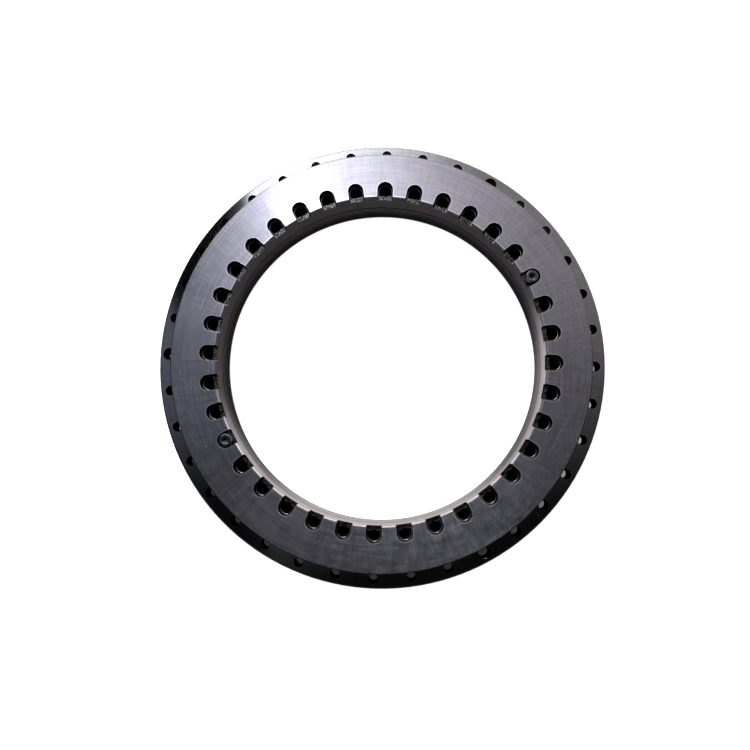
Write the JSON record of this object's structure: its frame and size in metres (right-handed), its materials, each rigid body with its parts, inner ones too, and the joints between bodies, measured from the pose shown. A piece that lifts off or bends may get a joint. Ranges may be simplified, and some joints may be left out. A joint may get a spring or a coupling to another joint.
{
  "type": "slewing ring bearing",
  "caption": "Double-direction axial angular contact ball slewing ring: flanged inner ring turns in a bolted outer ring, with pocketed fixing holes around the bore.",
  "frame": {"origin": "on the rotation axis, at the bottom face of the lower inner ring", "axes": "+Z along the rotation axis, towards the face with the screw head pockets; +X through one retaining screw"},
  "size_m": [0.4499, 0.45, 0.06],
  "materials": {
    "outer_ring_steel": "hardened bearing steel, ground faces, slightly darkened by preservative oil",
    "inner_ring_steel": "hardened bearing steel, face ground in fine circles, bore fine ground",
    "ball_steel": "lapped bearing steel balls",
    "cage_polyamide": "natural glass-filled polyamide",
    "seal_rubber": "black nitrile rubber",
    "screw_steel": "black oxide with a film of oil"
  },
  "bodies": {
    "outer_ring_body": {"outer_ring": "outer_ring_steel"},
    "inner_ring_body": {"upper_inner_ring": "inner_ring_steel", "lower_inner_ring": "inner_ring_steel", "upper_seal": "seal_rubber", "lower_seal": "seal_rubber", "retaining_screws": "screw_steel"},
    "upper_row": {"upper_balls": "ball_steel", "upper_cage_segment_1": "cage_polyamide", "upper_cage_segment_2": "cage_polyamide", "upper_cage_segment_3": "cage_polyamide", "upper_cage_segment_4": "cage_polyamide", "upper_cage_segment_5": "cage_polyamide", "upper_cage_segment_6": "cage_polyamide"},
    "lower_row": {"lower_balls": "ball_steel", "lower_cage_segment_1": "cage_polyamide", "lower_cage_segment_2": "cage_polyamide", "lower_cage_segment_3": "cage_polyamide", "lower_cage_segment_4": "cage_polyamide", "lower_cage_segment_5": "cage_polyamide", "lower_cage_segment_6": "cage_polyamide"}
  },
  "joints": [
    {"name": "slew", "type": "hinge", "parent": "outer_ring_body", "child": "inner_ring_body", "pos_m": [0, 0, 0.03], "axis": [0, 0, 1], "continuous": true},
    {"name": "upper_row_orbit", "type": "hinge", "parent": "outer_ring_body", "child": "upper_row", "pos_m": [0, 0, 0.0415], "axis": [0, 0, 1], "continuous": true},
    {"name": "lower_row_orbit", "type": "hinge", "parent": "outer_ring_body", "child": "lower_row", "pos_m": [0, 0, 0.0185], "axis": [0, 0, 1], "continuous": true}
  ],
  "couplings": [
    {"joint": "upper_row_orbit", "follows": "slew", "ratio": 0.49154},
    {"joint": "lower_row_orbit", "follows": "slew", "ratio": 0.49154}
  ]
}
